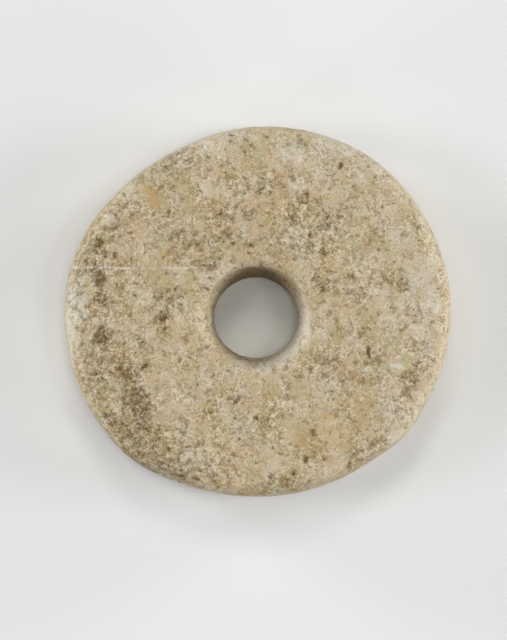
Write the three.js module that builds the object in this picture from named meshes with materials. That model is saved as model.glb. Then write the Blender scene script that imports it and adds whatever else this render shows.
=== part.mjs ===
// A stone spindle whorl: one hand-ground disc with a bore drilled a little off its centre.
// Millimetres, +Z up. The disc lies on its underside at z = 0, centred on the Z axis.
// Bearings are in degrees around the disc, counter-clockwise from +X.

import * as THREE from 'three';
import { ParametricGeometry } from 'three/addons/geometries/ParametricGeometry.js';

// Overall size
const WIDTH = 40.0;
const DEPTH = 38.34;
const THICKNESS = 9.0;

// The outline is an ellipse of that width and depth; here it stands out from it or was ground in behind it
const OUTLINE_WEAR = [
  { bearing: 55, spread: 42, reach: 0.32 },
  { bearing: 127, spread: 45, reach: -0.65 },
  { bearing: 222, spread: 44, reach: 0.44 },
  { bearing: 230, spread: 14, reach: 0.22 },
  { bearing: 320, spread: 14, reach: 0.25 },
];

// The bore: wide where the drill went in, narrow and drifted a little where it came out
const MOUTH_CENTRE = new THREE.Vector2(-0.2, -0.84);
const MOUTH_RADIUS = new THREE.Vector2(5.75, 5.6);
const THROAT_CENTRE = new THREE.Vector2(-0.2, -0.64);
const THROAT_RADIUS = new THREE.Vector2(4.32, 4.12);
const MOUTH_LIP = { width: 0.75, height: 0.9 };
const THROAT_LIP = { width: 0.35, height: 0.4 };

// How late the bore widens on its way up: at 1 it tapers evenly, above that it runs straight and then flares.
// Thread and shaft wore the flare in, except on the far side.
const FLARE = 4.5;
const FLARE_WEAR = [
  { bearing: 85, spread: 95, reach: -3.4 },
];

// The rounded upper edge, broader where hands and thread wore it
const SHOULDER = { width: 1.3, height: 2.4 };
const SHOULDER_WEAR = [
  { bearing: 5, spread: 55, reach: 0.9 },
  { bearing: 110, spread: 32, reach: 0.5 },
  { bearing: 182, spread: 48, reach: 0.8 },
];

// The side bellies out a little between the shoulder and the foot
const FOOT = { width: 1.3, height: 1.7 };
const BELLY = 0.22;

// The upper face falls away gently towards the shoulder
const FACE_FALL = 0.12;
const FACE_FLAT_SHARE = 0.72;

// Chips out of the upper edge
const CHIPS = [
  { bearing: 240, spread: 7, height: 7.6, tall: 2.6, depth: 0.45 },
  { bearing: 248, spread: 5, height: 8.1, tall: 1.8, depth: 0.35 },
  { bearing: 27, spread: 4.5, height: 6.6, tall: 2.2, depth: 0.2 },
  { bearing: 307, spread: 6, height: 7.4, tall: 2.4, depth: 0.25 },
];

// Fineness of the faceted surface
const BEARING_STEPS = 120;
const ARC_STEPS = { mouth: 4, shoulder: 6, side: 4, foot: 4, throat: 2, wall: 8 };

const HALF_TURN = 180;
const FULL_TURN = 360;

// 1 at the middle, easing down to 0 at the spread on either side
function swell(distance, spread) {
  const away = Math.abs(distance) / spread;
  return away < 1 ? 0.5 + 0.5 * Math.cos(Math.PI * away) : 0;
}

function turnBetween(bearing, other) {
  return THREE.MathUtils.euclideanModulo(bearing - other + HALF_TURN, FULL_TURN) - HALF_TURN;
}

function wornReach(wear, bearing) {
  return wear.reduce((sum, { bearing: at, spread, reach }) => (
    sum + reach * swell(turnBetween(bearing, at), spread)
  ), 0);
}

function direction(bearing) {
  const angle = THREE.MathUtils.degToRad(bearing);
  return new THREE.Vector2(Math.cos(angle), Math.sin(angle));
}

// A point of the outline, pushed in by the inset
function outlinePoint(bearing, inset) {
  const way = direction(bearing);
  const ellipse = 1 / Math.hypot(way.x / (WIDTH / 2), way.y / (DEPTH / 2));
  const radius = ellipse + wornReach(OUTLINE_WEAR, bearing) - inset;
  return way.multiplyScalar(radius);
}

// A point of the bore's wall at a height, pushed out into the stone by the margin
function borePoint(bearing, height, margin) {
  const share = (height / THICKNESS) ** (FLARE + wornReach(FLARE_WEAR, bearing));
  const centre = THROAT_CENTRE.clone().lerp(MOUTH_CENTRE, share);
  const radius = THROAT_RADIUS.clone().lerp(MOUTH_RADIUS, share).addScalar(margin);
  return direction(bearing).multiply(radius).add(centre);
}

// How deep the chips cut into the edge at a place
function chipDepth(bearing, height) {
  return CHIPS.reduce((sum, chip) => (
    sum + chip.depth * swell(turnBetween(bearing, chip.bearing), chip.spread)
      * swell(height - chip.height, chip.tall)
  ), 0);
}

function edgePoint(bearing, inset, height) {
  return outlinePoint(bearing, inset + chipDepth(bearing, height));
}

function shoulderWidth(bearing) {
  return SHOULDER.width + wornReach(SHOULDER_WEAR, bearing);
}

// Each part of the section gives a list of stations; a station turns a bearing into a place and a height.
// Together they run once around the section: up the bore, out over the face, down the edge and back below.

function wallStations() {
  const low = THROAT_LIP.height;
  const high = THICKNESS - MOUTH_LIP.height;
  return Array.from({ length: ARC_STEPS.wall }, (_, step) => {
    const height = THREE.MathUtils.lerp(low, high, step / ARC_STEPS.wall);
    return (bearing) => ({ at: borePoint(bearing, height, 0), height });
  });
}

function mouthStations() {
  return Array.from({ length: ARC_STEPS.mouth + 1 }, (_, step) => {
    const angle = (Math.PI / 2) * (step / ARC_STEPS.mouth);
    const height = THICKNESS - MOUTH_LIP.height * (1 - Math.sin(angle));
    const margin = MOUTH_LIP.width * (1 - Math.cos(angle));
    return (bearing) => ({ at: borePoint(bearing, height, margin), height });
  });
}

function faceStation(bearing) {
  const inner = borePoint(bearing, THICKNESS, MOUTH_LIP.width);
  const outer = outlinePoint(bearing, shoulderWidth(bearing));
  return { at: inner.lerp(outer, FACE_FLAT_SHARE), height: THICKNESS };
}

function shoulderStations() {
  return Array.from({ length: ARC_STEPS.shoulder + 1 }, (_, step) => {
    const angle = (Math.PI / 2) * (step / ARC_STEPS.shoulder);
    const height = THICKNESS - FACE_FALL - (SHOULDER.height - FACE_FALL) * (1 - Math.cos(angle));
    return (bearing) => {
      const inset = BELLY + (shoulderWidth(bearing) - BELLY) * (1 - Math.sin(angle));
      return { at: edgePoint(bearing, inset, height), height };
    };
  });
}

function sideStations() {
  const high = THICKNESS - SHOULDER.height;
  return Array.from({ length: ARC_STEPS.side - 1 }, (_, step) => {
    const share = (step + 1) / ARC_STEPS.side;
    const height = THREE.MathUtils.lerp(high, FOOT.height, share);
    const inset = BELLY * (1 - Math.sin(Math.PI * share));
    return (bearing) => ({ at: edgePoint(bearing, inset, height), height });
  });
}

function footStations() {
  return Array.from({ length: ARC_STEPS.foot + 1 }, (_, step) => {
    const angle = (Math.PI / 2) * (step / ARC_STEPS.foot);
    const height = FOOT.height * (1 - Math.sin(angle));
    const inset = BELLY + (FOOT.width - BELLY) * (1 - Math.cos(angle));
    return (bearing) => ({ at: outlinePoint(bearing, inset), height });
  });
}

function throatStations() {
  return Array.from({ length: ARC_STEPS.throat }, (_, step) => {
    const angle = (Math.PI / 2) * (step / ARC_STEPS.throat);
    const height = THROAT_LIP.height * (1 - Math.cos(angle));
    const margin = THROAT_LIP.width * (1 - Math.sin(angle));
    return (bearing) => ({ at: borePoint(bearing, height, margin), height });
  });
}

const STATIONS = [
  ...wallStations(),
  ...mouthStations(),
  faceStation,
  ...shoulderStations(),
  ...sideStations(),
  ...footStations(),
  ...throatStations(),
];

// The closed surface: once around the section in one direction and once around the disc in the other
function surfacePoint(aroundSection, aroundDisc, target) {
  const station = STATIONS[Math.round(aroundSection * STATIONS.length) % STATIONS.length];
  const step = Math.round(aroundDisc * BEARING_STEPS) % BEARING_STEPS;
  const { at, height } = station(FULL_TURN * step / BEARING_STEPS);
  target.set(at.x, at.y, height);
}

const stone = new THREE.MeshStandardMaterial({ color: '#b5a588', roughness: 0.8, metalness: 0 });

const whorl = new THREE.Mesh(
  new ParametricGeometry(surfacePoint, STATIONS.length, BEARING_STEPS),
  stone,
);
whorl.name = 'whorl';

const group = new THREE.Group();
group.add(whorl);

export default group;
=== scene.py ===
"""A stone spindle whorl, hand-ground and worn, lying on a plain pale floor under soft studio light."""

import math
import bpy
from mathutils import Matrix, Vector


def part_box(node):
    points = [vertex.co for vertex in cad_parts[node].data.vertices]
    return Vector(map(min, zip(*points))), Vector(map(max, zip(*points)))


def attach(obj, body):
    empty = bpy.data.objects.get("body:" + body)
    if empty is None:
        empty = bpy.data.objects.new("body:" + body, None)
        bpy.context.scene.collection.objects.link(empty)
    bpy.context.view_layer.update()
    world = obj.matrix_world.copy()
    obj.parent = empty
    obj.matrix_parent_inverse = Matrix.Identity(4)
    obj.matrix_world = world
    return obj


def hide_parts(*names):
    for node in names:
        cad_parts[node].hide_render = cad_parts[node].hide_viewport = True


bl_info = {
    "name": "Stone Spindle Whorl",
    "version": (1, 0, 0),
    "blender": (4, 5, 0),
    "location": "View3D > Sidebar > Whorl",
    "description": "Carves and finishes a worn stone spindle whorl, with its floor, lights and camera",
    "category": "Add Mesh",
}

from collections import namedtuple

import bpy
import numpy as np
from bpy.props import FloatProperty, FloatVectorProperty, IntProperty, PointerProperty
from bpy.types import Operator, Panel, PropertyGroup
from mathutils import Vector, noise

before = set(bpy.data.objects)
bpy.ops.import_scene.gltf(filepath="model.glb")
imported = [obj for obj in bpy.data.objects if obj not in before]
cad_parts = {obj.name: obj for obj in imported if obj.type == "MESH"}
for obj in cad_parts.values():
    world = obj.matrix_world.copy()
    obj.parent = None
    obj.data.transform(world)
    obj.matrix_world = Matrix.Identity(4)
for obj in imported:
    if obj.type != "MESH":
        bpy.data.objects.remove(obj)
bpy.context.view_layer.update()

MM = 0.001

# The disc's overall size in millimetres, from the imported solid
LOW, HIGH = (np.array(corner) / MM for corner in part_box("whorl"))
WIDTH, DEPTH, THICKNESS = HIGH - LOW

# The outline is an ellipse; here it stands out from it or was ground in behind it
Wear = namedtuple("Wear", "bearing spread reach")
OUTLINE_WEAR = (
    Wear(55, 42, 0.32),
    Wear(127, 45, -0.65),
    Wear(222, 44, 0.44),
    Wear(230, 14, 0.22),
    Wear(320, 14, 0.25),
)
SHOULDER_WEAR = (
    Wear(5, 55, 0.9),
    Wear(110, 32, 0.5),
    Wear(182, 48, 0.8),
)

# The bore in millimetres: its centre, its half widths and its two lips
MOUTH_CENTRE = np.array((-0.2, -0.84))
THROAT_CENTRE = np.array((-0.2, -0.64))
MOUTH_RADIUS = np.array((5.75, 5.6))
THROAT_RADIUS = np.array((4.32, 4.12))
MOUTH_LIP_WIDTH, MOUTH_LIP_HEIGHT = 0.75, 0.9
THROAT_LIP_WIDTH, THROAT_LIP_HEIGHT = 0.35, 0.4

# How late the bore widens on its way up: at 1 it tapers evenly, above that it runs straight and then flares
FLARE = 4.5
FLARE_WEAR = (Wear(85, 95, -3.4),)

# The edge's section in millimetres
SHOULDER_WIDTH, SHOULDER_HEIGHT = 1.3, 2.4
FOOT_WIDTH, FOOT_HEIGHT = 1.3, 1.7
BELLY = 0.22
FACE_FALL = 0.12
FACE_FLAT_SHARE = 0.72

# Chips out of the upper edge: bearings in degrees, the rest in millimetres
Chip = namedtuple("Chip", "bearing spread height tall depth")
CHIPS = (
    Chip(240, 7, 7.6, 2.6, 0.45),
    Chip(248, 5, 8.1, 1.8, 0.35),
    Chip(27, 4.5, 6.6, 2.2, 0.2),
    Chip(307, 6, 7.4, 2.4, 0.25),
)

# Marks on the upper face, in millimetres from the disc's middle, turned counter-clockwise in degrees
Mark = namedtuple("Mark", "x y long wide turn strength")

DARK_PATCHES = (
    Mark(-16.5, 6.6, 0.9, 0.7, 60, 1.3),
    Mark(-16.3, 3.6, 1.4, 0.6, 100, 1.5),
    Mark(-16.0, 1.2, 1.1, 0.6, 100, 1.2),
    Mark(-16.0, -2.6, 1.3, 0.9, 70, 1.5),
    Mark(-13.4, -6.2, 1.8, 1.1, 130, 0.9),
    Mark(-12.6, -9.4, 2.4, 1.4, 110, 1.2),
    Mark(-14.6, -11.8, 2.6, 0.9, 130, 0.7),
    Mark(-10.6, -13.0, 1.0, 0.6, 20, 0.8),
    Mark(-8.8, -16.6, 2.2, 0.7, 160, 0.6),
    Mark(-14.1, 0.0, 0.5, 0.4, 0, 0.6),
    Mark(14.7, 2.5, 1.0, 0.7, 100, 0.6),
    Mark(14.8, -1.9, 0.6, 0.4, 60, 0.5),
    Mark(15.7, -7.1, 2.0, 0.9, 70, 0.6),
    Mark(11.6, -14.3, 1.8, 0.8, 35, 0.35),
    Mark(-8.5, 5.9, 1.2, 0.8, 10, 0.7),
    Mark(-7.8, 15.5, 0.9, 0.6, 40, 0.7),
    Mark(-9.7, 15.6, 0.6, 0.5, 0, 0.5),
    Mark(0.2, 13.3, 0.5, 1.1, 0, 0.6),
    Mark(-1.2, 9.8, 0.9, 0.6, 150, 0.6),
    Mark(-1.8, -8.9, 0.9, 0.5, 0, 0.5),
    Mark(4.5, 11.6, 0.5, 0.5, 0, 0.7),
    Mark(7.0, 8.9, 2.4, 1.2, 10, 0.4),
    Mark(-12.4, 14.0, 1.4, 0.6, 50, 0.4),
    Mark(-9.2, 0.8, 2.0, 1.8, 90, 0.5),
    Mark(-4.6, 5.4, 2.0, 1.0, 30, 0.5),
    Mark(8.0, -6.2, 3.2, 1.8, 150, 0.35),
    Mark(2.2, -17.6, 2.6, 0.9, 5, 0.55),
    Mark(6.8, 3.2, 1.4, 2.2, 20, 0.4),
    Mark(5.7, 7.2, 1.6, 1.6, 0, 0.35),
    Mark(-16.0, -6.5, 2.0, 2.8, 0, 0.35),
    Mark(-12.8, -12.6, 2.8, 1.9, 130, 0.8),
    Mark(-6.5, 7.6, 3.8, 1.3, 0, 0.4),
    Mark(-8.8, 15.3, 2.4, 1.2, 20, 0.45),
    Mark(-2.4, 10.4, 1.6, 1.0, 0, 0.35),
    Mark(3.8, 9.0, 1.0, 1.8, 0, 0.4),
    Mark(10.8, -4.8, 1.7, 1.2, 0, 0.4),
    Mark(10.2, -15.2, 2.2, 1.1, 30, 0.25),
)

DARK_SPOTS = (
    Mark(-9.9, -0.5, 0.75, 0.55, 70, 1.0),
    Mark(8.45, 14.9, 0.35, 0.3, 45, 1.0),
    Mark(7.1, 16.2, 0.25, 0.15, 60, 0.7),
    Mark(5.3, 7.6, 0.5, 0.17, 95, 0.9),
    Mark(11.3, -4.2, 0.8, 0.26, 105, 1.35),
    Mark(4.85, -15.25, 0.45, 0.26, 80, 1.15),
    Mark(-0.1, -10.8, 0.32, 0.26, 0, 1.3),
    Mark(-7.6, -16.9, 0.35, 0.28, 160, 1.0),
    Mark(-6.3, -17.1, 0.45, 0.25, 170, 1.0),
    Mark(-4.0, -18.1, 0.3, 0.18, 0, 0.9),
    Mark(-2.6, 6.95, 0.28, 0.22, 0, 1.0),
    Mark(-0.5, 6.75, 0.35, 0.18, 20, 0.9),
    Mark(-2.8, 18.1, 0.3, 0.2, 30, 0.9),
    Mark(-1.8, 16.9, 0.25, 0.15, 60, 0.8),
    Mark(-11.6, -5.7, 0.5, 0.28, 40, 1.0),
    Mark(-14.7, 5.8, 0.4, 0.3, 90, 0.9),
    Mark(-4.8, -10.2, 0.35, 0.25, 150, 0.8),
    Mark(-2.2, -9.2, 0.3, 0.25, 0, 0.8),
    Mark(-1.5, -9.4, 0.25, 0.2, 0, 0.7),
    Mark(13.1, -10.0, 0.2, 0.15, 0, 0.7),
    Mark(7.7, -6.8, 0.2, 0.18, 0, 0.7),
    Mark(-8.6, 12.9, 0.3, 0.2, 0, 0.6),
)

RUST_PATCHES = (
    Mark(0.5, -15.0, 9.0, 3.0, 0, 0.4),
    Mark(6.5, -12.5, 5.0, 3.4, 20, 0.75),
    Mark(-4.5, 8.5, 4.0, 3.0, 150, 0.3),
    Mark(10.0, -7.5, 4.0, 3.0, 150, 0.25),
    Mark(-9.0, -13.0, 4.0, 2.5, 150, 0.3),
    Mark(1.0, 14.0, 8.0, 3.0, 0, 0.2),
    Mark(-11.7, 12.5, 0.8, 0.45, 160, 1.6),
    Mark(-10.95, 12.0, 0.85, 0.55, 135, 1.8),
    Mark(-10.6, 11.2, 0.9, 0.5, 100, 1.8),
    Mark(-6.4, 16.7, 1.2, 0.6, 15, 0.9),
    Mark(-2.8, 14.3, 0.9, 0.7, 20, 0.5),
    Mark(-9.4, 5.6, 1.3, 0.7, 160, 0.8),
    Mark(-14.5, 5.2, 0.6, 0.5, 90, 0.7),
    Mark(-9.6, -0.9, 0.8, 0.7, 80, 0.8),
    Mark(-11.3, -6.6, 1.4, 0.8, 150, 0.8),
    Mark(-16.0, -8.6, 1.0, 0.6, 120, 0.5),
    Mark(-4.0, -17.8, 2.6, 0.5, 175, 0.9),
    Mark(-8.7, -14.0, 0.9, 0.7, 100, 0.6),
    Mark(6.9, 5.0, 1.5, 0.9, 110, 0.7),
    Mark(9.4, -10.4, 3.4, 2.4, 160, 0.6),
    Mark(6.5, -5.9, 1.1, 0.6, 20, 0.6),
    Mark(14.9, -6.2, 0.5, 0.4, 0, 0.8),
    Mark(2.4, -14.9, 2.6, 1.0, 175, 0.6),
    Mark(-1.2, 9.6, 1.4, 0.9, 160, 0.6),
    Mark(-4.6, 10.4, 1.2, 0.7, 20, 0.4),
    Mark(6.4, 18.0, 1.5, 0.5, 170, 0.4),
)

OLIVE_PATCHES = (
    Mark(-13.0, -10.5, 4.5, 3.0, 130, 0.6),
    Mark(-18.0, 0.0, 1.5, 9.0, 0, 0.35),
    Mark(-8.0, 4.0, 4.0, 3.0, 150, 0.25),
    Mark(-9.8, 15.2, 4.0, 1.8, 32, 0.8),
    Mark(-9.3, 1.4, 2.0, 2.2, 0, 0.7),
    Mark(-7.5, -15.6, 3.0, 1.4, 160, 0.45),
    Mark(6.0, 9.0, 0.7, 0.5, 0, 0.9),
    Mark(-4.2, 6.1, 0.8, 0.6, 30, 1.0),
    Mark(-6.9, 3.6, 0.5, 0.9, 0, 0.9),
    Mark(1.6, -18.3, 3.0, 0.8, 5, 0.9),
    Mark(-8.6, 15.0, 1.6, 1.0, 40, 0.4),
    Mark(1.5, 17.4, 3.0, 0.9, 5, 0.7),
    Mark(-15.2, 8.0, 1.6, 0.8, 60, 0.6),
    Mark(-17.2, -10.0, 2.6, 0.5, 125, 0.7),
    Mark(15.3, -5.6, 1.0, 0.6, 30, 0.7),
    Mark(-14.4, -5.2, 1.6, 0.9, 100, 0.4),
    Mark(2.5, -11.2, 2.0, 1.2, 20, 0.3),
)

PALE_PATCHES = (
    Mark(16.8, 1.8, 2.6, 6.0, 0, 0.75),
    Mark(3.8, 16.4, 3.6, 2.0, 0, 0.75),
    Mark(-4.4, 12.9, 1.6, 1.2, 0, 0.45),
    Mark(-14.6, 8.8, 1.7, 1.7, 0, 0.5),
    Mark(-18.2, 4.0, 1.1, 2.8, 170, 0.8),
    Mark(16.2, 5.2, 1.5, 1.5, 0, 0.75),
    Mark(-12.8, -2.4, 1.5, 1.3, 0, 0.8),
    Mark(-18.3, 1.5, 1.0, 2.8, 0, 1.2),
    Mark(3.8, 13.0, 1.3, 1.2, 0, 0.55),
    Mark(8.5, 13.0, 1.8, 1.2, 0, 0.5),
    Mark(-8.5, 12.9, 1.3, 1.2, 0, 0.5),
    Mark(3.8, -5.4, 1.4, 1.2, 0, 0.6),
    Mark(-0.3, -10.2, 1.6, 0.9, 0, 0.5),
    Mark(-6.8, -15.2, 4.2, 1.2, 0, 0.6),
    Mark(10.5, 12.0, 6.0, 4.0, 140, 0.35),
    Mark(17.5, 3.5, 0.6, 1.0, 20, 1.0),
    Mark(18.1, 1.2, 0.8, 2.0, 10, 1.5),
    Mark(17.6, -3.4, 0.5, 1.3, 170, 0.6),
    Mark(2.5, 15.1, 0.8, 0.7, 0, 0.9),
    Mark(-9.1, 14.1, 0.6, 0.5, 0, 0.8),
    Mark(10.6, 13.5, 0.9, 1.3, 10, 0.6),
    Mark(13.7, 7.9, 0.8, 0.8, 30, 0.7),
    Mark(-3.8, -9.8, 0.7, 0.7, 0, 0.9),
    Mark(11.0, -5.9, 0.8, 0.4, 160, 1.3),
    Mark(14.1, -5.7, 0.9, 0.35, 165, 1.5),
    Mark(13.4, -10.1, 1.3, 1.0, 120, 1.1),
    Mark(13.8, -12.3, 1.3, 1.6, 40, 0.9),
    Mark(8.2, -15.3, 1.2, 0.7, 60, 0.7),
    Mark(6.5, -17.6, 1.4, 0.5, 15, 0.5),
    Mark(-6.9, -8.9, 0.6, 0.5, 0, 0.6),
    Mark(-8.6, -3.2, 1.2, 0.7, 10, 0.4),
    Mark(9.7, 6.3, 0.7, 1.2, 20, 0.5),
    Mark(-5.7, 12.6, 0.8, 0.5, 130, 0.4),
    Mark(-13.7, 4.0, 1.0, 0.5, 10, 0.4),
    Mark(-18.4, -0.5, 0.5, 2.6, 0, 0.7),
    Mark(-17.9, 2.4, 0.5, 1.4, 170, 0.6),
    Mark(-6.6, -13.9, 2.0, 0.9, 5, 0.4),
)

# Scratches on the upper face: from one end to the other, in millimetres
Scratch = namedtuple("Scratch", "x0 y0 x1 y1 width strength")
SCRATCHES = (
    Scratch(-19.2, 4.55, -12.6, 4.4, 0.09, 1.0),
    Scratch(-12.6, 4.4, -6.3, 4.45, 0.09, 0.8),
    Scratch(9.4, 5.8, 10.8, 2.5, 0.1, 0.9),
    Scratch(9.0, 5.2, 10.3, 3.4, 0.06, 0.5),
    Scratch(-13.2, -11.8, -7.0, -8.2, 0.07, 0.8),
    Scratch(-12.2, -11.9, -9.0, -10.4, 0.06, 0.6),
    Scratch(-10.5, -9.6, -8.6, -8.0, 0.06, 0.6),
    Scratch(9.5, 15.6, 12.6, 13.6, 0.06, 0.5),
    Scratch(12.6, 13.6, 15.6, 10.4, 0.06, 0.5),
    Scratch(15.6, 10.4, 17.2, 7.2, 0.06, 0.4),
    Scratch(-13.6, 10.4, -13.6, 6.4, 0.08, 0.4),
    Scratch(-11.2, -2.6, -9.2, -4.4, 0.06, 0.5),
)

# Where the edge and the bore's lip are rubbed pale, with painted highlight on the lit shoulders and painted
# light on the bore's lit lower-right wall; where painted shade darkens the bore's upper wall; where the edge
# is dirty: bearings and spreads in degrees, and strengths
# Partly rubbing, partly painted highlight where the shoulders face the lights
EDGE_RUB_AND_HIGHLIGHT = (
    Wear(5, 55, 0.6),
    Wear(62, 40, 0.8),
    Wear(112, 40, 0.9),
    Wear(180, 38, 1.0),
    Wear(318, 30, 0.5),
)
# Partly pale bloom on the lip, partly painted light where the bore's lower-right wall faces the light
LIP_RUB_AND_LIGHT = (Wear(320, 130, 1.5), Wear(180, 60, 0.3))
# Painted shade on the bore's upper wall, which faces away from the light
BORE_SHADE = (Wear(88, 92, 1.0),)
EDGE_GRIME = (Wear(232, 32, 0.6), Wear(165, 25, 0.4))

# Where these fade out: a mark in half widths from its middle, a scratch in widths from its line, the others
# in millimetres inside the outline or outside the bore's mouth
MARK_FADE = (0.35, 1.45)
SCRATCH_FADE = (0.6, 2.6)
EDGE_RUB_AND_HIGHLIGHT_FADE = (0.9, 2.6)
EDGE_GRIME_FADE = (2.5, 6.0)
LIP_RUB_AND_LIGHT_FADE = (-0.8, 0.5)
BORE_SHADE_FADE = (-0.6, 0.1)

# The rubbing, with its painted highlight and light, begins between these heights, and marks fade out this far
# below the upper face, in millimetres
EDGE_RUB_AND_HIGHLIGHT_RISE = (3.0, 6.5)
LIP_RUB_AND_LIGHT_RISE = (0.3, 1.5)
MARK_DROP = 2.0

# How far the marks, the rubbed and highlighted edge and the scratches wander, in millimetres; spots wander a
# share of it
MARK_WANDER = 0.45
SPOT_WANDER_SHARE = 0.5
EDGE_RUB_AND_HIGHLIGHT_WANDER = 0.8
SCRATCH_WANDER = 0.12

# The relief's patterns: millimetres between their largest features, how many octaves they have, and what they
# add to the seed
Pattern = namedtuple("Pattern", "pitch octaves offset")
HOLLOWS = Pattern(7.0, 2, 0)
GRIT = Pattern(0.9, 3, 1)
PITS = Pattern(0.75, 2, 2)
CLUSTERS = Pattern(3.5, 2, 3)
WANDER_EAST = Pattern(1.6, 3, 4)
WANDER_NORTH = Pattern(1.6, 3, 5)

# Each count of the seed moves a pattern on by the shift. Each octave is finer by the step, and weaker by the
# step raised to the fall.
SEED_SHIFT = (7.31, -3.17, 5.93)
OCTAVE_STEP = 2.0
OCTAVE_FALL = 1.0

# Pits lie in clusters and have soft edges. A dark spot is a hollow, at a share of a pit's depth. A scratch is
# a groove, with its depth in millimetres.
PIT_CLUSTERING = 0.35
PIT_EDGE = (0.32, 0.7)
SPOT_DEPTH_SHARE = 0.8
SCRATCH_DEPTH = 0.03

# How many steps the surface has around the disc, and along each part of its section
AROUND = 640
STEPS = {
    "wall": 22,
    "mouth": 9,
    "face": 72,
    "shoulder": 16,
    "side": 11,
    "foot": 8,
    "under": 12,
    "throat": 4,
}

# What all settings that are lengths, or colours, have in common
LENGTH = {"subtype": "DISTANCE", "unit": "LENGTH"}
COLOUR = {"min": 0.0, "max": 1.0, "subtype": "COLOR"}


class WhorlRelief(PropertyGroup):
    """How deep weathering has cut into the stone."""

    swell: FloatProperty(
        name="Unevenness",
        description="Depth of the broad hollows left by hand grinding",
        default=0.1 * MM,
        min=0.0,
        **LENGTH,
    )
    grit: FloatProperty(
        name="Grit",
        description="Depth of the fine grain that weathering has picked out",
        default=0.05 * MM,
        min=0.0,
        **LENGTH,
    )
    pits: FloatProperty(
        name="Pits",
        description="Depth of the small scattered pits",
        default=0.13 * MM,
        min=0.0,
        **LENGTH,
    )
    seed: IntProperty(
        name="Seed",
        description="Which arrangement of hollows, grit and pits the stone has",
        default=7,
        min=0,
    )


class WhorlStone(PropertyGroup):
    """The colours of the stone and its marks."""

    honey: FloatVectorProperty(
        name="Honey",
        description="The stone where iron has yellowed it",
        default=(0.457, 0.348, 0.170),
        **COLOUR,
    )
    ash: FloatVectorProperty(
        name="Ash",
        description="The stone where it is greyer and paler",
        default=(0.516, 0.444, 0.316),
        **COLOUR,
    )
    cream: FloatVectorProperty(
        name="Cream",
        description="Pale grains",
        default=(0.675, 0.585, 0.425),
        **COLOUR,
    )
    shade: FloatVectorProperty(
        name="Shade",
        description="The browner stone between the pale grains",
        default=(0.30, 0.222, 0.115),
        **COLOUR,
    )
    glint: FloatVectorProperty(
        name="Glints",
        description="The palest grains",
        default=(0.80, 0.735, 0.59),
        **COLOUR,
    )
    # Umber also serves as the painted shade on the bore's upper wall
    umber: FloatVectorProperty(
        name="Umber",
        description="Dark specks, seams and spots, and the dark side of the bore",
        default=(0.115, 0.07, 0.018),
        **COLOUR,
    )
    ember: FloatVectorProperty(
        name="Ember",
        description="The brown tint around the dark specks",
        default=(0.40, 0.255, 0.105),
        **COLOUR,
    )
    rust: FloatVectorProperty(
        name="Rust",
        description="Orange iron stains",
        default=(0.51, 0.34, 0.145),
        **COLOUR,
    )
    rose: FloatVectorProperty(
        name="Rose",
        description="Faintly pink clouds",
        default=(0.55, 0.40, 0.255),
        **COLOUR,
    )
    olive: FloatVectorProperty(
        name="Olive",
        description="Yellow-green clouds",
        default=(0.42, 0.385, 0.175),
        **COLOUR,
    )
    # Also the colour of the painted highlight on the lit shoulders and of the painted light on the bore's lit
    # lower-right wall
    bloom_and_highlight: FloatVectorProperty(
        name="Bloom",
        description="Whitish bloom, scratches and rubbed edges",
        default=(0.70, 0.65, 0.56),
        **COLOUR,
    )


class WhorlStage(PropertyGroup):
    """The floor, the lights and the camera."""

    floor: FloatVectorProperty(
        name="Floor",
        description="Colour of the pale floor",
        default=(0.79, 0.798, 0.802),
        **COLOUR,
    )
    light: FloatProperty(
        name="Light",
        description="Brightness of all the soft lights together",
        default=1.0,
        min=0.0,
    )
    height: FloatProperty(
        name="Camera height",
        description="Height of the camera above the floor",
        default=0.5,
        min=0.1,
        **LENGTH,
    )
    view: FloatProperty(
        name="View height",
        description="Height of the piece of the disc's plane that the picture shows",
        default=66.07 * MM,
        min=0.01,
        **LENGTH,
    )


# The disc's shape, in millimetres

QUARTER_TURN = math.pi / 2


def ramp(value, low, high):
    """Rises smoothly from 0 at low to 1 at high."""
    share = np.clip((value - low) / (high - low), 0.0, 1.0)
    return share * share * (3.0 - 2.0 * share)


def swell(distance, spread):
    """1 in the middle, easing down to 0 at the spread on either side."""
    away = np.abs(distance) / spread
    return np.where(away < 1.0, 0.5 + 0.5 * np.cos(np.pi * away), 0.0)


def turn_between(bearing, other):
    """How far it is from the other bearing round to this one, from -180 to 180 degrees."""
    return (bearing - other + 180.0) % 360.0 - 180.0


def worn_reach(wear, bearing):
    """What the worn stretches come to at each bearing."""
    return sum(w.reach * swell(turn_between(bearing, w.bearing), w.spread) for w in wear)


def direction(bearing):
    """The unit vector that points at each bearing."""
    angle = np.radians(bearing)
    return np.stack((np.cos(angle), np.sin(angle)), -1)


def outline_point(bearing, inset):
    """A point of the outline, pushed in by the inset."""
    way = direction(bearing)
    ellipse = 1.0 / np.hypot(way[:, 0] / (WIDTH / 2), way[:, 1] / (DEPTH / 2))
    radius = ellipse + worn_reach(OUTLINE_WEAR, bearing) - inset
    return way * radius[:, None]


def bore_point(bearing, height, margin):
    """A point of the bore's wall, pushed out into the stone by the margin."""
    share = (height / THICKNESS) ** (FLARE + worn_reach(FLARE_WEAR, bearing))[:, None]
    centre = THROAT_CENTRE + (MOUTH_CENTRE - THROAT_CENTRE) * share
    radius = THROAT_RADIUS + (MOUTH_RADIUS - THROAT_RADIUS) * share + margin
    return direction(bearing) * radius + centre


def chip_depth(bearing, height):
    """How deep the chips cut into the edge at each bearing, at a height."""
    return sum(
        c.depth * swell(turn_between(bearing, c.bearing), c.spread) * swell(height - c.height, c.tall)
        for c in CHIPS
    )


def shoulder_width(bearing):
    return SHOULDER_WIDTH + worn_reach(SHOULDER_WEAR, bearing)


def ring(at, height):
    """Points once around the disc, from their places seen from above and their height."""
    return np.column_stack((at, np.broadcast_to(height, len(at))))


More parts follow.
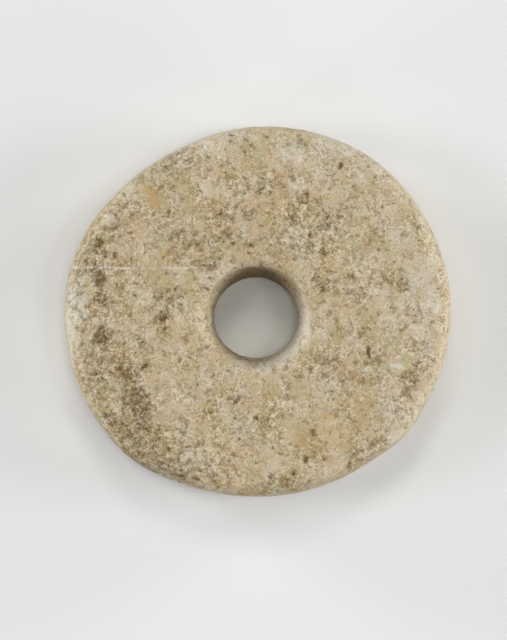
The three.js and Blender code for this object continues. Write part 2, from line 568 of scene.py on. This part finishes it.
# Each part of the section is a list of rings. Its last ring is left out, because the next part begins there.


def up_to(end, steps):
    """Evenly spaced values from 0 up to the end, which is left out."""
    return np.linspace(0.0, end, steps, endpoint=False)


def wall_rings(bearing, steps):
    rise = THICKNESS - MOUTH_LIP_HEIGHT - THROAT_LIP_HEIGHT
    heights = THROAT_LIP_HEIGHT + up_to(rise, steps)
    return [ring(bore_point(bearing, height, 0.0), height) for height in heights]


def mouth_rings(bearing, steps):
    rings = []
    for angle in up_to(QUARTER_TURN, steps):
        height = THICKNESS - MOUTH_LIP_HEIGHT * (1.0 - math.sin(angle))
        margin = MOUTH_LIP_WIDTH * (1.0 - math.cos(angle))
        rings.append(ring(bore_point(bearing, height, margin), height))
    return rings


def face_rings(bearing, steps):
    inner = bore_point(bearing, THICKNESS, MOUTH_LIP_WIDTH)
    outer = outline_point(bearing, shoulder_width(bearing))
    rings = []
    for share in up_to(1.0, steps):
        fall = max(share - FACE_FLAT_SHARE, 0.0) / (1.0 - FACE_FLAT_SHARE)
        rings.append(ring(inner + (outer - inner) * share, THICKNESS - FACE_FALL * fall**2))
    return rings


def shoulder_rings(bearing, steps):
    rings = []
    for angle in up_to(QUARTER_TURN, steps):
        height = THICKNESS - FACE_FALL - (SHOULDER_HEIGHT - FACE_FALL) * (1.0 - math.cos(angle))
        inset = BELLY + (shoulder_width(bearing) - BELLY) * (1.0 - math.sin(angle))
        rings.append(ring(outline_point(bearing, inset + chip_depth(bearing, height)), height))
    return rings


def side_rings(bearing, steps):
    high = THICKNESS - SHOULDER_HEIGHT
    rings = []
    for share in up_to(1.0, steps):
        height = high + (FOOT_HEIGHT - high) * share
        inset = BELLY * (1.0 - math.sin(math.pi * share))
        rings.append(ring(outline_point(bearing, inset + chip_depth(bearing, height)), height))
    return rings


def foot_rings(bearing, steps):
    rings = []
    for angle in up_to(QUARTER_TURN, steps):
        height = FOOT_HEIGHT * (1.0 - math.sin(angle))
        inset = BELLY + (FOOT_WIDTH - BELLY) * (1.0 - math.cos(angle))
        rings.append(ring(outline_point(bearing, inset), height))
    return rings


def under_rings(bearing, steps):
    outer = outline_point(bearing, FOOT_WIDTH)
    inner = bore_point(bearing, 0.0, THROAT_LIP_WIDTH)
    return [ring(outer + (inner - outer) * share, 0.0) for share in up_to(1.0, steps)]


def throat_rings(bearing, steps):
    rings = []
    for angle in up_to(QUARTER_TURN, steps):
        height = THROAT_LIP_HEIGHT * (1.0 - math.cos(angle))
        margin = THROAT_LIP_WIDTH * (1.0 - math.sin(angle))
        rings.append(ring(bore_point(bearing, height, margin), height))
    return rings


RINGS = {
    "wall": wall_rings,
    "mouth": mouth_rings,
    "face": face_rings,
    "shoulder": shoulder_rings,
    "side": side_rings,
    "foot": foot_rings,
    "under": under_rings,
    "throat": throat_rings,
}


def smooth_form():
    """The disc before weathering: its points by ring and bearing, and the part that each ring is in."""
    bearing = np.arange(AROUND) * 360.0 / AROUND
    rings, parts = [], []
    for part, make in RINGS.items():
        rings += make(bearing, STEPS[part])
        parts += [part] * STEPS[part]
    return np.array(rings), np.array(parts)


def outward(form):
    """The surface's outward direction at each point of the form."""
    along = np.roll(form, -1, 0) - np.roll(form, 1, 0)
    around = np.roll(form, -1, 1) - np.roll(form, 1, 1)
    normal = np.cross(along, around)
    return normal / np.linalg.norm(normal, axis=-1, keepdims=True)


def pattern(points, kind, seed):
    """Fractal noise at each point, about -1 to 1."""
    shift = Vector([step * (seed + kind.offset) for step in SEED_SHIFT])
    scale = 1.0 / kind.pitch
    values = [
        noise.fractal(Vector(point) * scale + shift, OCTAVE_FALL, OCTAVE_STEP, kind.octaves)
        for point in points
    ]
    return np.array(values)


def near_mark(points, mark):
    """How strongly a mark shows at each point: full in its middle, fading out past its edge."""
    angle = math.radians(mark.turn)
    east, north = points[:, 0] - mark.x, points[:, 1] - mark.y
    along = (east * math.cos(angle) + north * math.sin(angle)) / mark.long
    across = (north * math.cos(angle) - east * math.sin(angle)) / mark.wide
    below = (THICKNESS - points[:, 2]) / (MARK_DROP + mark.wide)
    away = np.sqrt(along**2 + across**2 + below**2)
    return mark.strength * (1.0 - ramp(away, *MARK_FADE))


def all_marks(points, marks):
    """How strongly the marks show at each point; where some overlap, the strongest shows."""
    shown = np.zeros(len(points))
    for mark in marks:
        shown = np.maximum(shown, near_mark(points, mark))
    return shown


def all_scratches(points, wobble):
    """How strongly the scratches show at each point; the wobble bends them a little."""
    shown = np.zeros(len(points))
    place = points[:, :2] + wobble[:, None] * SCRATCH_WANDER
    for scratch in SCRATCHES:
        start = np.array((scratch.x0, scratch.y0))
        way = np.array((scratch.x1, scratch.y1)) - start
        share = np.clip((place - start) @ way / (way @ way), 0.0, 1.0)
        away = np.linalg.norm(place - start - share[:, None] * way, axis=1) / scratch.width
        shown = np.maximum(shown, scratch.strength * (1.0 - ramp(away, *SCRATCH_FADE)))
    return shown * (points[:, 2] > THICKNESS - SHOULDER_HEIGHT)


def rim_place(points):
    """Each point's bearing, and how far it lies inside the outline, in millimetres."""
    bearing = np.degrees(np.arctan2(points[:, 1], points[:, 0]))
    reach = np.linalg.norm(outline_point(bearing, 0.0), axis=1)
    return bearing, reach - np.linalg.norm(points[:, :2], axis=1)


def lip_place(points):
    """Each point's bearing seen from the bore, and how far it lies outside the mouth, in millimetres."""
    from_bore = (points[:, :2] - MOUTH_CENTRE) / MOUTH_RADIUS
    bearing = np.degrees(np.arctan2(from_bore[:, 1], from_bore[:, 0]))
    return bearing, (np.linalg.norm(from_bore, axis=1) - 1.0) * MOUTH_RADIUS.mean()


def rubbed_and_lit(points, streaks):
    """How pale the edge and the bore's lip are: rubbing, with painted highlight on the lit shoulders and
    painted light on the bore's lit lower-right wall; the streaks break it up.
    """
    bearing, inside = rim_place(points)
    near_edge = 1.0 - ramp(inside + EDGE_RUB_AND_HIGHLIGHT_WANDER * streaks, *EDGE_RUB_AND_HIGHLIGHT_FADE)
    edge = worn_reach(EDGE_RUB_AND_HIGHLIGHT, bearing) * near_edge * ramp(points[:, 2], *EDGE_RUB_AND_HIGHLIGHT_RISE)
    bearing, outside = lip_place(points)
    near_lip = (1.0 - ramp(outside, *LIP_RUB_AND_LIGHT_FADE)) * ramp(points[:, 2], *LIP_RUB_AND_LIGHT_RISE)
    return np.maximum(edge, worn_reach(LIP_RUB_AND_LIGHT, bearing) * near_lip)


def grimy(points):
    """How dirty the edge is."""
    bearing, inside = rim_place(points)
    return worn_reach(EDGE_GRIME, bearing) * (1.0 - ramp(inside, *EDGE_GRIME_FADE))


def painted_bore_shade(points):
    """Painted shade on the bore's upper wall, which faces away from the light: how dark it is, most where it
    is steep.
    """
    bearing, outside = lip_place(points)
    return worn_reach(BORE_SHADE, bearing) * (1.0 - ramp(outside, *BORE_SHADE_FADE))


def weather(form, relief):
    """Cuts hollows, grit, pits, spots and scratches into the form; returns it with the painted masks."""
    points = form.reshape(-1, 3)
    hollow = pattern(points, HOLLOWS, relief.seed)
    grit = pattern(points, GRIT, relief.seed)
    pit = pattern(points, PITS, relief.seed)
    cluster = pattern(points, CLUSTERS, relief.seed)
    east = pattern(points, WANDER_EAST, relief.seed)
    north = pattern(points, WANDER_NORTH, relief.seed)
    wander = MARK_WANDER * np.column_stack((east, north, np.zeros(len(points))))
    wandered = points + wander
    masks = {
        "grime": np.maximum(all_marks(wandered, DARK_PATCHES), grimy(points)),
        "spot": all_marks(points + wander * SPOT_WANDER_SHARE, DARK_SPOTS),
        # Painted shade on the bore's upper wall
        "bore_shade": painted_bore_shade(points),
        "rust": all_marks(wandered, RUST_PATCHES),
        "olive": all_marks(wandered, OLIVE_PATCHES),
        # Pale patches and rubbing, with painted highlight on the lit shoulders and painted light on the
        # bore's lit wall
        "bloom_and_highlight": np.maximum(all_marks(wandered, PALE_PATCHES), rubbed_and_lit(points, cluster)),
        "scratch": all_scratches(points, hollow),
    }
    pitted = ramp(pit + PIT_CLUSTERING * cluster, *PIT_EDGE)
    depth = relief.swell / MM * (0.5 + 0.5 * hollow)
    depth += relief.grit / MM * (0.5 - 0.5 * grit)
    depth += relief.pits / MM * (pitted + SPOT_DEPTH_SHARE * masks["spot"])
    depth += SCRATCH_DEPTH * masks["scratch"]
    carved = form - outward(form) * np.maximum(depth, 0.0).reshape(*form.shape[:2], 1)
    carved[..., 2] -= carved[..., 2].min()
    return carved, masks


# The flat map of the surface: two discs for the faces, and two strips for the edge and the bore's wall. Each
# disc has a hole for the bore, with its radius in millimetres; the rest is in shares of the map.

MapDisc = namedtuple("MapDisc", "centre radius hole")
MapStrip = namedtuple("MapStrip", "corner size")
ISLANDS = {
    "bore": MapStrip((0.02, 0.86), (0.48, 0.12)),
    "face": MapDisc((0.345, 0.44), 0.335, MOUTH_RADIUS[0]),
    "edge": MapStrip((0.01, 0.01), (0.98, 0.08)),
    "under": MapDisc((0.78, 0.78), 0.205, THROAT_RADIUS[0]),
}

# The island that each part of the section lies on. Two rounded parts are split between islands, at a share of
# their length.
ISLAND_OF = {
    "wall": "bore",
    "mouth": "face",
    "face": "face",
    "side": "edge",
    "under": "under",
    "throat": "bore",
}
SPLIT = {"shoulder": ("face", "edge"), "foot": ("edge", "under")}
SPLIT_AT = 0.6


def island_of(row, parts):
    """The island of the faces between a ring and the next."""
    part = parts[row]
    if part in ISLAND_OF:
        return ISLAND_OF[part]
    share = (row - np.argmax(parts == part)) / STEPS[part]
    return SPLIT[part][0] if share < SPLIT_AT else SPLIT[part][1]


def map_line(island, along, total):
    """The map's line for a ring that lies this far along its island, out of the island's total."""
    turn = np.arange(AROUND + 1) / AROUND
    spot = ISLANDS[island]
    if isinstance(spot, MapStrip):
        across = np.full_like(turn, along / total)
        return np.array(spot.corner) + np.array(spot.size) * np.stack((turn, across), -1)
    out = along if island == "face" else total - along
    radius = spot.radius * (spot.hole + out) / (spot.hole + total)
    return np.array(spot.centre) + radius * direction(360.0 * turn)


def flat_map(form, parts):
    """Two coordinates for each corner of each face, by row and bearing, with each island's texels even."""
    lengths = np.linalg.norm(np.roll(form, -1, 0) - form, axis=-1).mean(1)
    islands = np.array([island_of(row, parts) for row in range(len(parts))])
    corners = np.zeros((len(parts), AROUND, 4, 2))
    for island in ISLANDS:
        # The throat comes last in the section and leads into the wall, so on the map it comes before it
        rows = sorted(np.flatnonzero(islands == island), key=lambda row: parts[row] == "wall")
        ends = np.concatenate(((0.0,), np.cumsum(lengths[rows])))
        for row, near, far in zip(rows, ends[:-1], ends[1:]):
            low, high = map_line(island, near, ends[-1]), map_line(island, far, ends[-1])
            corners[row] = np.stack((low[:-1], high[:-1], high[1:], low[1:]), 1)
    return corners


def faces_of(count):
    """The quads between each ring and the next, all the way round the section."""
    row, column = np.meshgrid(np.arange(count), np.arange(AROUND), indexing="ij")
    next_row, next_column = (row + 1) % count, (column + 1) % AROUND
    quads = np.stack(
        (
            row * AROUND + column,
            next_row * AROUND + column,
            next_row * AROUND + next_column,
            row * AROUND + next_column,
        ),
        -1,
    )
    return quads.reshape(-1, 4)


# Shader trees

# The stone's patterns: millimetres between their largest features, how much finer detail they have and how
# strong it is, and a seed that sets them apart
Speckle = namedtuple("Speckle", "pitch detail roughness seed")
PATCH = Speckle(2.6, 3.0, 0.6, 1.0)
MOTTLE = Speckle(0.95, 3.0, 0.65, 2.0)
GRAIN = Speckle(0.2, 1.0, 0.9, 3.0)
WARM = Speckle(1.7, 3.0, 0.6, 4.0)
GREEN = Speckle(1.9, 3.0, 0.6, 5.0)
DOT = Speckle(0.28, 1.0, 0.6, 6.0)
DARK = Speckle(0.7, 2.0, 0.6, 7.0)
PALE = Speckle(0.22, 1.0, 0.6, 8.0)
WASH = Speckle(3.0, 2.0, 0.5, 9.0)
ROUGH = Speckle(2.0, 3.0, 0.6, 10.0)

# Two ways of bending the patterns: millimetres between the bends, and how far they reach
Bend = namedtuple("Bend", "pitch reach")
WAVY = Bend(0.8, 0.5)
CURLY = Bend(0.45, 0.38)
BEND_DETAIL = 2.0

# Crystals, and the seams between larger ones, in millimetres; a seam fades out over a share of its crystal
CRYSTAL_PITCH = 0.2
SEAM_PITCH, SEAM_WIDTH = 0.6, 0.3

# Fine scratches all over: a pattern that is drawn out along, across and down, in millimetres, and shows where
# it is strongest. Each way that they run has its turn in degrees from +X, and its seed.
HAIRLINE = Speckle(1.0, 1.0, 0.5, 0.0)
HAIRLINE_SIZE = (1.8, 0.14, 1.0)
HAIRLINE_EDGE = (0.62, 0.71)
HAIRLINES = ((38.0, 11.0), (60.0, 12.0), (118.0, 13.0))

# Where the stone turns gritty, where its body turns from honey to ash, and where its tone turns from shade to
# the body and from the body to cream
GRITTY_EDGE = (0.34, 0.66)
HONEY_TO_ASH = (0.3, 0.7)
SHADE_TO_BODY = (-0.7, 0.6)
BODY_TO_CREAM = (0.45, 1.6)

# What lies over the stone's body, in this order: the colour, where its pattern begins and ends to show, and
# how much it covers
Layer = namedtuple("Layer", "colour low high cover")
LAYERS = {
    "rose": Layer("rose", -0.02, 0.2, 0.75),
    "olive": Layer("olive", 0.0, 0.9, 0.55),
    "ember": Layer("ember", 0.05, 0.75, 0.3),
    "rust": Layer("rust", 0.1, 1.5, 0.75),
    # Pale bloom and rubbing, with painted highlight on the lit shoulders and painted light on the bore's lit
    # lower-right wall
    "bloom_and_highlight": Layer("bloom_and_highlight", 0.1, 1.4, 0.68),
    "glints": Layer("glint", 0.17, 0.28, 0.6),
    "specks": Layer("umber", 0.19, 0.33, 0.85),
    "seams": Layer("umber", 0.0, 0.18, 0.45),
    "spots": Layer("umber", 0.35, 1.05, 0.85),
    "scratches": Layer("bloom_and_highlight", 0.3, 1.2, 0.6),
    "hairlines": Layer("bloom_and_highlight", 0.35, 0.65, 0.4),
    # Painted shade on the bore's upper wall
    "bore_shade": Layer("umber", 0.0, 1.0, 0.45),
}

# The stone's finish: its roughness and how much the grain varies it, and the bump's strength and depth
STONE_ROUGHNESS, ROUGHNESS_SPREAD = 0.78, 0.2
BUMP_STRENGTH, BUMP_DEPTH = 0.8, 0.08 * MM

# The paper of the floor: its faint cloudiness, how little darker that is, and its roughness
CLOUD = Speckle(40.0, 2.0, 0.5, 0.0)
CLOUD_SHADE = 0.99
PAPER_ROUGHNESS = 0.9

# How little both shine
SHINE = 0.2


class Socket:
    """An output of a shader tree; arithmetic on it adds Math nodes."""

    def __init__(self, tree, output):
        self.tree = tree
        self.output = output

    def _math(self, operation, *values):
        return add_node(self.tree, "ShaderNodeMath", {"operation": operation}, dict(enumerate(values)))

    def __add__(self, other):
        return self._math("ADD", self, other)

    def __radd__(self, other):
        return self._math("ADD", other, self)

    def __sub__(self, other):
        return self._math("SUBTRACT", self, other)

    def __rsub__(self, other):
        return self._math("SUBTRACT", other, self)

    def __mul__(self, other):
        return self._math("MULTIPLY", self, other)

    def __rmul__(self, other):
        return self._math("MULTIPLY", other, self)

    def step(self, low, high):
        """Rises smoothly from 0 at low to 1 at high."""
        return add_node(
            self.tree,
            "ShaderNodeMapRange",
            {"interpolation_type": "SMOOTHSTEP"},
            {"Value": self, "From Min": low, "From Max": high},
        )


def add_node(tree, kind, settings=None, inputs=None, output=0):
    """Adds a node, sets it up, feeds its sockets, and gives the wrapped output."""
    node = tree.nodes.new(kind)
    for name, value in (settings or {}).items():
        setattr(node, name, value)
    for name, value in (inputs or {}).items():
        if isinstance(value, Socket):
            tree.links.new(value.output, node.inputs[name])
        else:
            node.inputs[name].default_value = value
    return Socket(tree, node.outputs[output])


MIX_FACTOR, MIX_A, MIX_B, MIX_COLOUR = 0, 6, 7, 2


def mix(tree, first, second, factor):
    """The first colour, turned into the second by the factor."""
    inputs = {MIX_FACTOR: factor, MIX_A: opaque(first), MIX_B: opaque(second)}
    return add_node(tree, "ShaderNodeMix", {"data_type": "RGBA"}, inputs, MIX_COLOUR)


def opaque(colour):
    """A colour with full alpha; a socket stays as it is."""
    return colour if isinstance(colour, Socket) else (*colour, 1.0)


def vector_math(tree, operation, inputs):
    return add_node(tree, "ShaderNodeVectorMath", {"operation": operation}, inputs)


def places(tree):
    """Coordinates on the piece, in millimetres."""
    here = add_node(tree, "ShaderNodeTexCoord", output="Object")
    return vector_math(tree, "SCALE", {0: here, "Scale": 1.0 / MM})


def bent(tree, place, bend):
    """The place pushed about by noise."""
    inputs = {"Vector": place, "Scale": 1.0 / bend.pitch, "Detail": BEND_DETAIL}
    push = add_node(tree, "ShaderNodeTexNoise", None, inputs, "Color")
    push = vector_math(tree, "SUBTRACT", {0: push, 1: (0.5, 0.5, 0.5)})
    push = vector_math(tree, "SCALE", {0: push, "Scale": 2.0 * bend.reach})
    return vector_math(tree, "ADD", {0: place, 1: push})


def speckle(tree, place, kind):
    """Noise from 0 to 1."""
    inputs = {
        "Vector": place,
        "W": kind.seed,
        "Scale": 1.0 / kind.pitch,
        "Detail": kind.detail,
        "Roughness": kind.roughness,
    }
    return add_node(tree, "ShaderNodeTexNoise", {"noise_dimensions": "4D"}, inputs)


def centred(tree, place, kind):
    """Noise from -0.5 to 0.5."""
    return speckle(tree, place, kind) - 0.5


def crystals(tree, place, pitch):
    """A random shade from 0 to 1 for each crystal, a pitch across, in millimetres."""
    cells = add_node(tree, "ShaderNodeTexVoronoi", None, {"Vector": place, "Scale": 1.0 / pitch}, "Color")
    return add_node(tree, "ShaderNodeSeparateColor", None, {"Color": cells})


def seams(tree, place, pitch, width):
    """1 on the seams between crystals a pitch across, fading out over the width, which is a share of it."""
    inputs = {"Vector": place, "Scale": 1.0 / pitch}
    away = add_node(tree, "ShaderNodeTexVoronoi", {"feature": "DISTANCE_TO_EDGE"}, inputs, "Distance")
    return 1.0 - away.step(0.0, width)


def hairlines(tree, place):
    """1 on fine scratches, a millimetre or two long, that run a few ways."""
    ways = []
    for turn, seed in HAIRLINES:
        inputs = {"Vector": place, "Rotation": (0.0, 0.0, math.radians(turn)), "Scale": HAIRLINE_SIZE}
        along = add_node(tree, "ShaderNodeMapping", {"vector_type": "TEXTURE"}, inputs)
        ways.append(speckle(tree, along, HAIRLINE._replace(seed=seed)).step(*HAIRLINE_EDGE))
    return sum(ways)


def painted(tree, name):
    """One of the masks that weathering painted on the mesh."""
    return add_node(tree, "ShaderNodeAttribute", {"attribute_name": name}, output="Fac")


def new_material(name):
    material = bpy.data.materials.new(name)
    material.use_nodes = True
    tree = material.node_tree
    return material, tree, tree.nodes["Principled BSDF"]


def feed(tree, shader, name, value):
    tree.links.new(value.output, shader.inputs[name])


def fade(name, pattern):
    """Where a layer shows: 0 below its low end and 1 above its high end."""
    return pattern.step(LAYERS[name].low, LAYERS[name].high)


def stone_material(stone):
    """Weathered speckled stone, with its clouds, stains, bloom, specks and scratches, painted highlight on
    the lit shoulders, painted light on the bore's lit lower-right wall, and painted shade on the bore's upper
    wall.
    """
    material, tree, shader = new_material("weathered_stone")
    place = places(tree)
    wavy = bent(tree, place, WAVY)
    curly = bent(tree, place, CURLY)

    # The patterns that the colours are made of, and two of the painted masks
    patch = centred(tree, wavy, PATCH)
    mottle = centred(tree, wavy, MOTTLE)
    grain = centred(tree, curly, GRAIN)
    crystal = crystals(tree, curly, CRYSTAL_PITCH) - 0.5
    warm = centred(tree, wavy, WARM)
    green = centred(tree, wavy, GREEN)
    dot = centred(tree, curly, DOT)
    dark = centred(tree, wavy, DARK)
    pale = centred(tree, place, PALE)
    wash = speckle(tree, wavy, WASH)
    grime = painted(tree, "grime")
    # Pale patches and rubbing, with painted highlight on the lit shoulders and painted light on the bore's
    # lit wall
    bloom_and_highlight = painted(tree, "bloom_and_highlight")

    # The weights in the sums below say how much each pattern counts
    gritty = (speckle(tree, wavy, ROUGH) + grime * 0.3).step(*GRITTY_EDGE)
    dirt = (gritty - 0.5) * 0.09 + grime * 0.2
    body = mix(tree, stone.honey, stone.ash, wash.step(*HONEY_TO_ASH))
    tone = 0.63 + patch * 1.9 + mottle * 1.3 + (grain * 6.4 + crystal * 1.5) * (0.4 + gritty * 0.9)
    colour = mix(tree, stone.shade, body, tone.step(*SHADE_TO_BODY))
    colour = mix(tree, colour, stone.cream, tone.step(*BODY_TO_CREAM))

    hairs = hairlines(tree, place) * (1.0 + grime * 0.3)
    shown = {
        "rose": fade("rose", warm + grain * 0.1),
        "olive": fade("olive", painted(tree, "olive") * 0.8 + green * 3.8),
        "ember": fade("ember", dark * 2.4 + warm * 1.2 + dirt * 2.0),
        "rust": fade("rust", painted(tree, "rust") + mottle * 1.2 + warm * 1.6 + grain * 0.4),
        # Pale bloom and rubbing, with painted highlight on the lit shoulders and painted light on the bore's
        # lit lower-right wall
        "bloom_and_highlight": fade("bloom_and_highlight", bloom_and_highlight * 0.9 + patch * 0.8 + mottle * 1.8 + grain * 1.4),
        "glints": fade("glints", pale + mottle * 0.4 - dirt * 0.3 + bloom_and_highlight * 0.03),
        "specks": fade("specks", dot + dark * 0.55 + grain * 0.5 + dirt),
        "seams": seams(tree, wavy, SEAM_PITCH, SEAM_WIDTH) * fade("seams", dark + dirt * 1.2),
        "spots": fade("spots", painted(tree, "spot") * 1.1 + grain * 2.8 + dark * 2.6),
        "scratches": fade("scratches", painted(tree, "scratch") + mottle * 1.8 + grain * 1.6),
        "hairlines": hairs * fade("hairlines", wash + patch),
        # Painted shade on the bore's upper wall
        "bore_shade": fade("bore_shade", painted(tree, "bore_shade") + patch * 0.5),
    }
    for name, layer in LAYERS.items():
        colour = mix(tree, colour, getattr(stone, layer.colour), shown[name] * layer.cover)

    height = grain * 1.6 + mottle * 0.8 + crystal * 0.2 - shown["specks"] * 0.7 - shown["seams"] * 0.4
    inputs = {"Strength": BUMP_STRENGTH, "Distance": BUMP_DEPTH, "Height": height}
    feed(tree, shader, "Base Color", colour)
    feed(tree, shader, "Roughness", STONE_ROUGHNESS + grain * ROUGHNESS_SPREAD)
    feed(tree, shader, "Normal", add_node(tree, "ShaderNodeBump", None, inputs))
    shader.inputs["Specular IOR Level"].default_value = SHINE
    return material


def floor_material(stage):
    """Plain pale paper, very faintly cloudy."""
    material, tree, shader = new_material("pale_paper")
    cloudy = tuple(channel * CLOUD_SHADE for channel in stage.floor)
    colour = mix(tree, tuple(stage.floor), cloudy, speckle(tree, places(tree), CLOUD))
    feed(tree, shader, "Base Color", colour)
    shader.inputs["Roughness"].default_value = PAPER_ROUGHNESS
    shader.inputs["Specular IOR Level"].default_value = SHINE
    return material


def add_mesh(name, points, quads):
    """A smooth-shaded mesh object from points in metres."""
    mesh = bpy.data.meshes.new(name)
    mesh.from_pydata(points.tolist(), [], quads.tolist())
    mesh.shade_smooth()
    mesh.update()
    piece = bpy.data.objects.new(name, mesh)
    bpy.context.scene.collection.objects.link(piece)
    return piece


class OBJECT_OT_whorl_disc(Operator):
    """Carve the weathered disc with its bore, and give it its stone."""

    bl_idname = "object.whorl_disc"
    bl_label = "Carve Whorl"

    def execute(self, context):
        scene = context.scene
        form, parts = smooth_form()
        carved, masks = weather(form, scene.whorl_relief)
        disc = add_mesh("carved_whorl", carved.reshape(-1, 3) * MM, faces_of(len(parts)))
        for name, values in masks.items():
            layer = disc.data.attributes.new(name, "FLOAT", "POINT")
            layer.data.foreach_set("value", values.astype(np.float32))
        layer = disc.data.uv_layers.new(name="OFBake")
        layer.uv.foreach_set("vector", flat_map(form, parts).reshape(-1).astype(np.float32))
        disc.data.materials.append(stone_material(scene.whorl_stone))
        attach(disc, "root")
        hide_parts("whorl")
        return {"FINISHED"}


# Square soft lights that face the middle of the disc's footprint: azimuth counter-clockwise from +X and
# elevation in degrees, size in metres, power in watts
Softbox = namedtuple("Softbox", "name azimuth elevation size power")
SOFTBOXES = (
    Softbox("overhead", 0, 84, 0.12, 0.79),
    Softbox("high_right", 0, 67, 0.15, 0.56),
    Softbox("high_left_back", 135, 67, 0.15, 0.42),
    Softbox("high_back", 90, 57, 0.2, 0.97),
    Softbox("left", 180, 34, 0.25, 1.69),
    Softbox("right", 0, 22, 0.25, 2.2),
    Softbox("right_front", 300, 22, 0.25, 0.66),
    Softbox("low_right_back", 30, 12, 0.2, 2.14),
    Softbox("low_right_front", 330, 12, 0.2, 1.32),
    Softbox("low_left_back", 150, 12, 0.2, 2.68),
    Softbox("low_left_front", 210, 12, 0.2, 1.6),
)
LIGHT_DISTANCE = 0.8

# The lights above this elevation are a little warmer, and the others a little cooler
HIGH_FROM = 45
HIGH_COLOUR = (1.02, 1.0, 0.93)
LOW_COLOUR = (0.987, 1.0, 1.045)

# The floor's half width in metres, the even light from all around, the camera's sensor in millimetres, and
# how far the camera stands to the side of the disc's middle, in metres
FLOOR_REACH = 1.5
WORLD_COLOUR = (1.0, 1.0, 1.0, 1.0)
WORLD_LIGHT = 0.09
SENSOR = 36.0
CAMERA_OFFSET = (-0.459 * MM, -0.862 * MM)


def add_light(softbox, brightness):
    """A soft light that the camera doesn't see."""
    data = bpy.data.lights.new(softbox.name, "AREA")
    data.energy = softbox.power * brightness
    data.size = softbox.size
    data.color = HIGH_COLOUR if softbox.elevation > HIGH_FROM else LOW_COLOUR
    lamp = bpy.data.objects.new(softbox.name, data)
    side, up = math.radians(softbox.azimuth), math.radians(softbox.elevation)
    way = Vector((math.cos(up) * math.cos(side), math.cos(up) * math.sin(side), math.sin(up)))
    lamp.location = way * LIGHT_DISTANCE
    lamp.rotation_euler = way.to_track_quat("Z", "Y").to_euler()
    lamp.visible_camera = False
    bpy.context.scene.collection.objects.link(lamp)


def add_world():
    """Even white light from all around."""
    world = bpy.data.worlds.new("studio")
    world.use_nodes = True
    sky = world.node_tree.nodes["Background"]
    sky.inputs["Color"].default_value = WORLD_COLOUR
    sky.inputs["Strength"].default_value = WORLD_LIGHT
    return world


def add_camera(stage):
    """A camera that looks straight down, with the stage's view at half the disc's thickness."""
    data = bpy.data.cameras.new("camera")
    data.sensor_width = SENSOR
    data.lens = SENSOR * (stage.height - THICKNESS * MM / 2) / stage.view
    camera = bpy.data.objects.new("camera", data)
    camera.location = (*CAMERA_OFFSET, stage.height)
    bpy.context.scene.collection.objects.link(camera)
    return camera


class SCENE_OT_whorl_stage(Operator):
    """Lay the pale floor, and set up the lights and the camera."""

    bl_idname = "scene.whorl_stage"
    bl_label = "Set Stage"

    def execute(self, context):
        scene = context.scene
        stage = scene.whorl_stage
        corners = FLOOR_REACH * np.array(((-1, -1, 0), (1, -1, 0), (1, 1, 0), (-1, 1, 0)))
        floor = add_mesh("floor", corners, np.array(((0, 1, 2, 3),)))
        floor.data.materials.append(floor_material(stage))
        for softbox in SOFTBOXES:
            add_light(softbox, stage.light)
        scene.world = add_world()
        scene.camera = add_camera(stage)
        scene.view_settings.view_transform = "Standard"
        return {"FINISHED"}


class VIEW3D_PT_whorl(Panel):
    """The whorl's steps and settings."""

    bl_label = "Whorl"
    bl_idname = "VIEW3D_PT_whorl"
    bl_space_type = "VIEW_3D"
    bl_region_type = "UI"
    bl_category = "Whorl"

    def draw(self, context):
        layout = self.layout
        layout.operator(SCENE_OT_whorl_stage.bl_idname)
        layout.operator(OBJECT_OT_whorl_disc.bl_idname)
        for group in (context.scene.whorl_relief, context.scene.whorl_stone, context.scene.whorl_stage):
            box = layout.box()
            for name in group.__annotations__:
                box.prop(group, name)


CLASSES = (
    WhorlRelief,
    WhorlStone,
    WhorlStage,
    OBJECT_OT_whorl_disc,
    SCENE_OT_whorl_stage,
    VIEW3D_PT_whorl,
)


def register():
    for cls in CLASSES:
        bpy.utils.register_class(cls)
    bpy.types.Scene.whorl_relief = PointerProperty(type=WhorlRelief)
    bpy.types.Scene.whorl_stone = PointerProperty(type=WhorlStone)
    bpy.types.Scene.whorl_stage = PointerProperty(type=WhorlStage)


def unregister():
    del bpy.types.Scene.whorl_stage
    del bpy.types.Scene.whorl_stone
    del bpy.types.Scene.whorl_relief
    for cls in reversed(CLASSES):
        bpy.utils.unregister_class(cls)


def main():
    register()
    bpy.ops.scene.whorl_stage()
    bpy.ops.object.whorl_disc()


if __name__ == "__main__":
    main()
